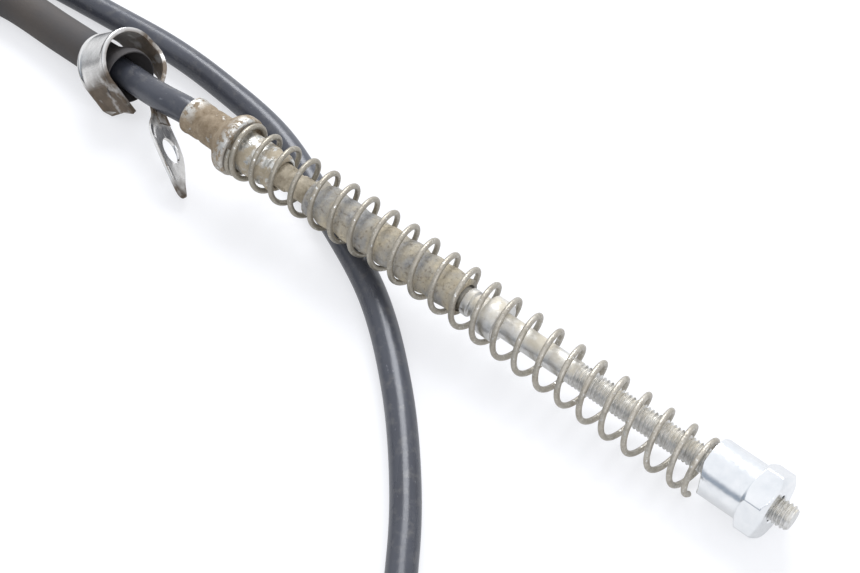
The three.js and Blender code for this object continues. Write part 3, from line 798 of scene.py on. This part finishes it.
def adjuster_nut():
    """The nut as rings of points: bore, saddled left face, round body, step, chamfered hexagon, right face.
    The hexagon's radius is its flat distance over the cosine of the angle from the flat, cut by the chamfer
    cone; the left face follows a cylinder laid across the nut."""
    angle = np.linspace(0, 2 * math.pi, 240, endpoint=False)
    y, z = np.cos(angle), np.sin(angle)
    sector = (angle - HEX_TURN + math.pi / 6) % (math.pi / 3) - math.pi / 6
    corner = np.minimum(HEX_FLAT / np.cos(sector), HEX_CORNER)
    rows = []

    def ring(x, radius):
        rows.append(np.stack((x + 0 * angle, radius * y, radius * z), -1))

    def left_face(radius):
        height = np.minimum(np.abs(radius * z), 10)
        curve = SADDLE_DEPTH - SADDLE_RADIUS + np.sqrt(SADDLE_RADIUS**2 - height**2)
        return NUT_START + np.maximum(curve, 0)

    face_radius = NUT_BODY - NUT_EDGE
    ring(left_face(NUT_BORE), NUT_BORE)
    for radius in np.linspace(NUT_BORE + 0.05, face_radius, 9):
        ring(left_face(radius), radius)
    for turn in np.linspace(0, math.pi / 2, 5):
        face = left_face(face_radius) + NUT_EDGE * (1 - math.cos(turn))
        ring(face, face_radius + NUT_EDGE * math.sin(turn))
    for x in np.linspace(NUT_START + 2.0, HEX_START - 0.15, 8):
        ring(np.maximum(left_face(face_radius) + NUT_EDGE, x), NUT_BODY)
    ring(HEX_START, NUT_BODY + 0.1)
    chamfer = np.linspace(0, 1, 9)
    for t in chamfer:
        ring(HEX_START + t, np.minimum(corner, 7.2 + 1.4 * t))
    for t in chamfer:
        ring(NUT_END - 1.2 * (1 - t), np.minimum(corner, 8.6 - 1.5 * t))
    ring(NUT_END, 6.9)
    ring(NUT_END, NUT_BORE + 0.3)
    ring(NUT_END - 0.3, NUT_BORE)
    ring((NUT_START + NUT_END) / 2, NUT_BORE)
    own = np.stack(rows)
    piece = skin("barrel_nut", on_rod(own), own, ZINC_NUT, loop=True, sharp=22)
    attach(piece, "nut")
    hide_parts("adjuster_nut")
    return piece


def inner_wire():
    """The wheel end's wire, seen only through the gap between liner and boot."""
    outline = [(21.0, 0.001), (21.0, 0.95), (69.5, 0.95), (69.5, 0.001)]
    return fitting(
        "pull_wire", outline, WIRE, "rod", "inner_wire", cut=0.1, sides=24, closed=False
    )


def protective_sleeve():
    """Rubber sleeve on the sheath: a thick-walled tube that bends with it and widens at its mouth."""
    along = np.concatenate(([0], np.cumsum(np.linalg.norm(np.diff(ROUTE, axis=0), axis=1))))
    picked = ROUTE[(along > SLEEVE_START) & (along < SLEEVE_END)]
    flare = np.clip(1 - np.arange(len(picked)) * ROUTE_STEP / MOUTH_LENGTH, 0, 1)
    flare = MOUTH_FLARE * smooth(flare)
    outer, straight = tube(picked, SLEEVE_RADIUS + flare, 40)
    inner, straight_in = tube(picked, SHEATH_RADIUS + 0.25 + 1.35 * flare, 40)
    lip_out, lip_straight = tube(picked, SLEEVE_RADIUS + flare - 0.35, 40)
    points = np.concatenate((lip_out[:1], outer[1:-1], lip_out[-1:], inner[::-1]))
    own = np.concatenate((lip_straight[:1], straight[1:-1], lip_straight[-1:], straight_in[::-1]))
    piece = skin("rubber_sleeve", points * MM, own, SLEEVE_RUBBER, loop=True)
    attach(piece, "casing")
    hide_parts("protective_sleeve")
    return piece


def clip_axes():
    """The strap's directions: along the sheath, across it, and up out of the bow, leaning a little."""
    forward = unit(CLIP_FORWARD)
    level = unit(np.cross((0, 0, 1), forward))
    lean = math.radians(4.9)
    across = unit(level * math.cos(lean) + np.cross(forward, level) * math.sin(lean))
    return forward, across, np.cross(forward, across)


def clip_strap():
    """The clip's strap: a flat section with raised rims, carried down from the torn end of the near leg,
    over a half circle about the sleeve, and on the far side twisted under the sheath to the tab. Its width
    narrows and turns from the sheath's direction to the tab's as it goes."""
    forward, across, upward = clip_axes()
    leg = [
        CLIP_CENTRE - CLIP_RADIUS * across - upward * down
        for down in np.linspace(CLIP_NEAR_LEG, 0.6, 14)
    ]
    bow = [
        CLIP_CENTRE + CLIP_RADIUS * (math.cos(t) * across + math.sin(t) * upward)
        for t in np.linspace(math.pi, 0, 40)
    ]
    tab_start = TAB_TIP - 24.4 * TAB_LENGTHWISE + 1.8 * TAB_ACROSS
    end = CLIP_CENTRE + CLIP_RADIUS * across
    neck = spline([
        end - 0.5 * upward, end - 3.2 * upward + 1.2 * forward, (-110.5, 10.6, 9.6), (-104.5, 5.0, 9.4),
        tab_start, tab_start + 4 * TAB_LENGTHWISE,
    ], 0.8)
    path = np.vstack((leg, bow, neck))
    ending = np.clip((np.arange(len(path)) - len(leg) - len(bow)) / (len(neck) - 6), 0, 1)[:, None]
    ending = smooth(ending)
    width_way = unit(forward * (1 - ending) - TAB_ACROSS * ending)
    half = CLIP_WIDTH / 2
    widths = half + (TAB_NECK - half) * ending[:, 0] ** 0.6
    tangent = unit(np.gradient(path, axis=0))
    outward = unit(np.cross(width_way, tangent))
    outward = outward * np.sign(((path[20] - CLIP_CENTRE) * outward[20]).sum())
    thick, rim = CLIP_THICKNESS / 2, CLIP_THICKNESS / 2 + 0.28
    section = eased([
        (-1, -thick), (-1, rim), (-0.87, rim), (-0.8, thick),
        (0.8, thick), (0.87, rim), (1, rim), (1, -thick),
    ], 0.12, 3)
    side, rise = section.T
    shift = np.zeros((len(path), len(section)))
    torn = 0.9 * np.sin(5.0 * side + 0.7) + 0.5 * np.sin(11 * side)
    shift[:6] = torn * np.linspace(1, 0, 6)[:, None]
    points = (
        path[:, None] + side[None, :, None] * (widths[:, None] * width_way)[:, None]
        + rise[None, :, None] * outward[:, None] + shift[..., None] * tangent[:, None]
    )
    own = np.stack((
        np.broadcast_to(np.arange(len(path))[:, None] * 0.5, shift.shape),
        side[None] * widths[:, None], np.broadcast_to(rise, shift.shape),
    ), -1)
    strap = skin("clip_strap", points * MM, own, NICKEL, sharp=30)
    # Film on the strap: grime where it lies low, and painted shade on the inner face of the loop, where it
    # wraps the sleeve.
    low = np.clip((3.5 - (points - CLIP_CENTRE) @ upward + 2.0 * side[None]) / 3.0, 0, 1)
    inside = np.broadcast_to(rise < 0, shift.shape)
    film(strap, np.maximum(low, inside * 0.8))
    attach(strap, "casing")
    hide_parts("cable_clip")
    return strap


def clip_eye_tab():
    """The clip's flat tab: rings of points from the rim of its round eye to its outline, front and back."""
    outline = eased([
        (-27.0, -0.6), (-23.5, -1.2), (-20.5, -4.6), (-18, -6.0), (-13.4, -5.7), (-8.1, -5.1),
        (-4.5, -4.4), (-1.2, -3.8), (0, -2.4), (-0.3, -0.3), (-3.4, 0.9), (-7.6, 3.6), (-11.3, 5.3),
        (-15.5, 5.5), (-19.3, 4.8), (-22.8, 4.4), (-27.0, 4.3),
    ], 1.6, 6)
    direction = unit(outline - EYE_CENTRE)
    steps = ((0.0, 0.82), (0.02, 1.0), (0.3, 1.0), (0.6, 1.0), (0.93, 1.0), (1.0, 0.7))
    rows = []
    for level, order in ((CLIP_THICKNESS / 2, steps), (-CLIP_THICKNESS / 2, steps[::-1])):
        for t, height in order:
            spot = EYE_CENTRE + direction * EYE_RADIUS * (1 - t) + (outline - EYE_CENTRE) * t
            rows.append(np.column_stack((spot, np.full(len(spot), level * height))))
    local = np.stack(rows)
    along, across, above = np.moveaxis(local[..., None], 2, 0)
    normal = np.cross(TAB_LENGTHWISE, TAB_ACROSS)
    placed = TAB_TIP + along * TAB_LENGTHWISE + across * TAB_ACROSS + above * normal
    tab = skin("clip_eye_tab", placed * MM, local, NICKEL, loop=True, sharp=30)
    # Film on the tab: it turns darker brown toward its tip and toward its root.
    tip, root = np.clip((along + 5.5) / 3, 0, 1), np.clip((-19.5 - along) / 2, 0, 1)
    film(tab, np.maximum(tip, root))
    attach(tab, "casing")
    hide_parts("cable_clip")
    return tab


def lever_end():
    """Lever-end ferrule, its stranded wire, and the barrel nipple."""
    cap = [
        (0, 3.6), (0, 4.2), (0.3, 4.5), (3.0, 4.5), (3.6, 4.15), (5.4, 4.15), (6.0, 4.5), (23.6, 4.5),
        (24.0, 4.1), (24.0, 3.5), (28.4, 3.5), (29.0, 3.1), (29.0, 1.4), (3.0, 1.4), (3.0, 3.6),
    ]
    wire = [(5, 0.001), (5, 0.95), (43, 0.95), (43, 0.001)]
    pieces = [
        fitting(
            "lever_cap", cap, LEVER_ZINC, "casing", "lever_ferrule",
            cut=0.25, place=on_lever,
        ),
        fitting(
            "lever_strand_wire", wire, WIRE, "lever_end", "lever_wire",
            cut=0.1, sides=24, place=on_lever, closed=False,
        ),
    ]
    outline = eased([(-4.5, 0.001), (-4.5, 4.0), (4.5, 4.0), (4.5, 0.001)], 0.3, closed=False)
    turned = revolved(outline, 64)
    own = np.stack((44.0 + turned[..., 1], turned[..., 2], turned[..., 0]), -1)
    nipple = skin("drum_nipple", on_lever(own), own, LEVER_ZINC)
    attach(nipple, "lever_end")
    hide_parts("barrel_nipple")
    return pieces + [nipple]


def coil_ties():
    """Two nylon bands round the coil, each a flat strip bent round the section of the turns."""
    pieces = []
    for number, degrees in enumerate(TIE_ANGLES, 1):
        middle = (COIL_INNER + COIL_OUTER) / 2
        half = np.array(((COIL_OUTER - COIL_INNER) / 2 + 0.3, COIL_HEIGHT / 2 + 0.3))
        corners = np.array(((-1, -1), (1, -1), (1, 1), (-1, 1))) * half
        inside = eased(corners, 3.0, 8)
        outside = eased(np.sign(corners) * (half + 0.9), 3.6, 8)
        turn = math.radians(degrees)
        edges = (inside, -TIE_HALF), (outside, -TIE_HALF), (outside, TIE_HALF), (inside, TIE_HALF)
        local = np.stack([
            np.column_stack((middle + outline[:, 0], np.full(len(outline), side), outline[:, 1]))
            for outline, side in edges
        ])
        x, y, z = np.moveaxis(local, -1, 0)
        placed = np.stack((
            COIL_CENTRE[0] + x * math.cos(turn) - y * math.sin(turn),
            COIL_CENTRE[1] + x * math.sin(turn) + y * math.cos(turn),
            COIL_FLOOR + COIL_HEIGHT / 2 + z,
        ), -1)
        piece = skin(f"coil_band_{number}", placed * MM, local, BAND, loop=True)
        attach(piece, "casing")
        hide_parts(f"coil_tie_{number}")
        pieces.append(piece)
    return pieces


ferrule()
guide_tube()
guide_liner()
BOOT = dust_boot()
SPRING = return_spring()
pull_rod()
adjuster_nut()
inner_wire()
SLEEVE = protective_sleeve()
LEVER_PIECES = lever_end()
TIES = coil_ties()
CLIP = clip_strap()
TAB = clip_eye_tab()

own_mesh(SPRING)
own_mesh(BOOT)


# Table, light and background

TABLE_HALF = 3.0
GLOW_UNSEEN, GLOW_SEEN, GLOW_MIRRORED = 0.56, 0.63, 0.7


def table():
    """A large pale floor that looks white to the camera, keeps soft shadows, and is a little darker in the
    metal's reflections."""
    material = bpy.data.materials.new("white_table")
    material.use_nodes = True
    tree = material.node_tree
    tree.nodes.remove(tree.nodes["Principled BSDF"])
    diffuse = add(tree, "ShaderNodeBsdfDiffuse", {"Color": linear("A6A6A6")})
    path = add(tree, "ShaderNodeLightPath")
    seen = add(
        tree, "ShaderNodeMapRange",
        {"Value": path.outputs["Is Camera Ray"], 3: GLOW_UNSEEN, 4: GLOW_SEEN},
    ).outputs[0]
    mirrored = add(
        tree, "ShaderNodeMapRange",
        {"Value": path.outputs["Is Glossy Ray"], 3: 1.0, 4: GLOW_MIRRORED},
    ).outputs[0]
    strength = add(tree, "ShaderNodeMath", {0: seen, 1: mirrored}, operation="MULTIPLY").outputs[0]
    glow = add(tree, "ShaderNodeEmission", {"Color": linear("FBFCFF"), "Strength": strength})
    both = add(tree, "ShaderNodeAddShader", {0: diffuse.outputs[0], 1: glow.outputs[0]})
    tree.links.new(both.outputs[0], tree.nodes["Material Output"].inputs["Surface"])
    mesh = bpy.data.meshes.new("table")
    corners = [(x * TABLE_HALF, y * TABLE_HALF, 0) for x, y in ((-1, -1), (1, -1), (1, 1), (-1, 1))]
    mesh.from_pydata(corners, [], [(0, 1, 2, 3)])
    mesh.materials.append(material)
    floor = bpy.data.objects.new("table", mesh)
    bpy.context.scene.collection.objects.link(floor)


def area_light(name, place, target, size, power, colour):
    """A square soft light at a place, in metres, turned to a target."""
    lamp = bpy.data.lights.new(name, "AREA")
    lamp.shape = "SQUARE"
    lamp.size = size
    lamp.energy = power
    lamp.color = linear(colour)[:3]
    holder = bpy.data.objects.new(name, lamp)
    holder.location = place
    x, y, z = np.array(target) - np.array(place)
    holder.rotation_euler = (math.atan2(math.hypot(x, y), -z), 0, math.atan2(y, x) - math.pi / 2)
    bpy.context.scene.collection.objects.link(holder)


def room():
    """An even white room whose front is dimmer in reflections, a large soft light high up behind the
    cable, and a weak one from the front."""
    world = bpy.data.worlds.new("room")
    world.use_nodes = True
    tree = world.node_tree
    path = add(tree, "ShaderNodeLightPath")
    incoming = add(tree, "ShaderNodeNewGeometry").outputs["Incoming"]
    way = add(tree, "ShaderNodeSeparateXYZ", {0: incoming})
    front = add(tree, "ShaderNodeMapRange", {"Value": way.outputs[1], 1: -0.1, 2: 0.55}).outputs[0]
    level = add(tree, "ShaderNodeMapRange", {"Value": way.outputs[2], 1: -0.46, 2: -0.28}).outputs[0]
    zone = add(
        tree, "ShaderNodeMath", {0: front, 1: level}, operation="MULTIPLY", use_clamp=True
    ).outputs[0]
    dim = add(
        tree, "ShaderNodeMath", {0: zone, 1: path.outputs["Is Glossy Ray"]},
        operation="MULTIPLY", use_clamp=True,
    ).outputs[0]
    seen = add(
        tree, "ShaderNodeMath", {0: path.outputs["Is Camera Ray"], 1: path.outputs["Is Glossy Ray"]},
        operation="ADD", use_clamp=True,
    ).outputs[0]
    colour = coats(tree, linear("F8FAFF"), (dim, linear("98A1AE"), 0, 1))
    strength = add(tree, "ShaderNodeMapRange", {"Value": seen, 3: 0.78, 4: 1.0}).outputs[0]
    background = tree.nodes["Background"]
    tree.links.new(colour, background.inputs["Color"])
    tree.links.new(strength, background.inputs["Strength"])
    bpy.context.scene.world = world
    area_light("window", (-0.55, 0.75, 0.95), (0, 0, 0), 0.7, 14.0, "F8FAFF")
    area_light("fill", (0.7, -0.5, 0.8), (0, 0, 0), 0.9, 4.0, "F4F6FF")


table()
room()
bpy.context.scene.view_settings.view_transform = "Standard"
